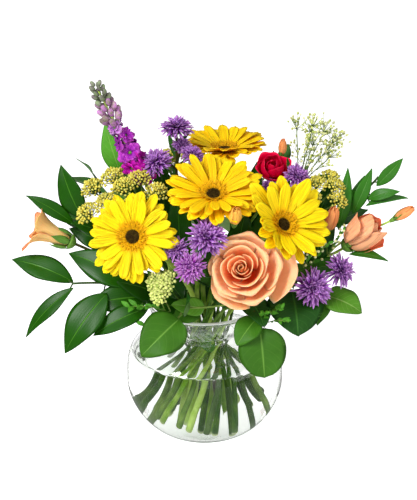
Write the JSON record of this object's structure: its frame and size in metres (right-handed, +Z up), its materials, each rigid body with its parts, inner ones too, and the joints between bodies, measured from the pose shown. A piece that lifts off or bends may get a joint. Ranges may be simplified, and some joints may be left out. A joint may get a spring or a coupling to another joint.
{
  "type": "gerberas in a vase",
  "caption": "Mixed bouquet of gerberas with a rose, small flowers and foliage, standing in a round clear glass vase of water with a narrow neck and a flared rim.",
  "frame": {"origin": "centre of the vase's flat foot, on the surface that it stands on", "axes": "+Z up along the vase's axis, -Y towards the viewer of the bouquet's front, +X to that viewer's right"},
  "size_m": [0.4634, 0.2929, 0.4329],
  "materials": {
    "clear_glass": "gloss",
    "water": "gloss",
    "green_stems": "satin",
    "yellow_petals": "matte",
    "gold_petals": "matte",
    "dark_disc": "matte",
    "peach_petals": "matte",
    "rose_heart": "matte",
    "crimson_petals": "matte",
    "magenta_petals": "matte",
    "purple_petals": "matte",
    "yellow_filler": "matte",
    "cream_filler": "matte",
    "green_buds": "matte",
    "dark_leaves": "satin",
    "broad_leaves": "satin"
  },
  "bodies": {
    "root": {"airy_filler": "cream_filler", "aster_back_left_1": "purple_petals", "aster_back_left_2": "purple_petals", "aster_back_left_3": "purple_petals", "aster_back_left_4": "purple_petals", "aster_back_left_stem": "green_stems", "aster_back_right_1": "purple_petals", "aster_back_right_2": "purple_petals", "aster_back_right_stem": "green_stems", "aster_front_1": "purple_petals", "aster_front_2": "purple_petals", "aster_front_3": "purple_petals", "aster_front_stem": "green_stems", "aster_right_1": "purple_petals", "aster_right_2": "purple_petals", "aster_right_stem": "green_stems", "broad_leaf_back": "broad_leaves", "broad_leaf_front_left": "broad_leaves", "broad_leaf_front_right": "broad_leaves", "broad_leaf_right": "broad_leaves", "carnation_head": "crimson_petals", "carnation_stem": "green_stems", "gerbera_left_disc": "dark_disc", "gerbera_left_rays": "yellow_petals", "gerbera_left_stem": "green_stems", "gerbera_middle_disc": "dark_disc", "gerbera_middle_rays": "yellow_petals", "gerbera_middle_stem": "green_stems", "gerbera_right_disc": "dark_disc", "gerbera_right_rays": "yellow_petals", "gerbera_right_stem": "green_stems", "gerbera_top_disc": "dark_disc", "gerbera_top_rays": "gold_petals", "gerbera_top_stem": "green_stems", "green_bud_cluster": "green_buds", "rose_inner_petals": "rose_heart", "rose_leaves": "broad_leaves", "rose_outer_petals": "peach_petals", "rose_stem": "green_stems", "ruscus_back_left": "dark_leaves", "ruscus_back_right": "dark_leaves", "ruscus_left_high": "dark_leaves", "ruscus_left_low": "dark_leaves", "ruscus_right": "dark_leaves", "spray_rose_behind_bloom": "peach_petals", "spray_rose_left_bloom": "peach_petals", "spray_rose_left_stem": "green_stems", "spray_rose_middle_bud": "peach_petals", "spray_rose_middle_stem": "green_stems", "spray_rose_right_bloom": "peach_petals", "spray_rose_right_bud": "peach_petals", "spray_rose_right_stem": "green_stems", "spray_rose_top_bud": "peach_petals", "stock_florets": "magenta_petals", "stock_stem": "green_stems", "vase": "clear_glass", "water": "water", "yellow_filler_back": "yellow_filler", "yellow_filler_left": "yellow_filler", "yellow_filler_right": "yellow_filler"}
  },
  "joints": []
}
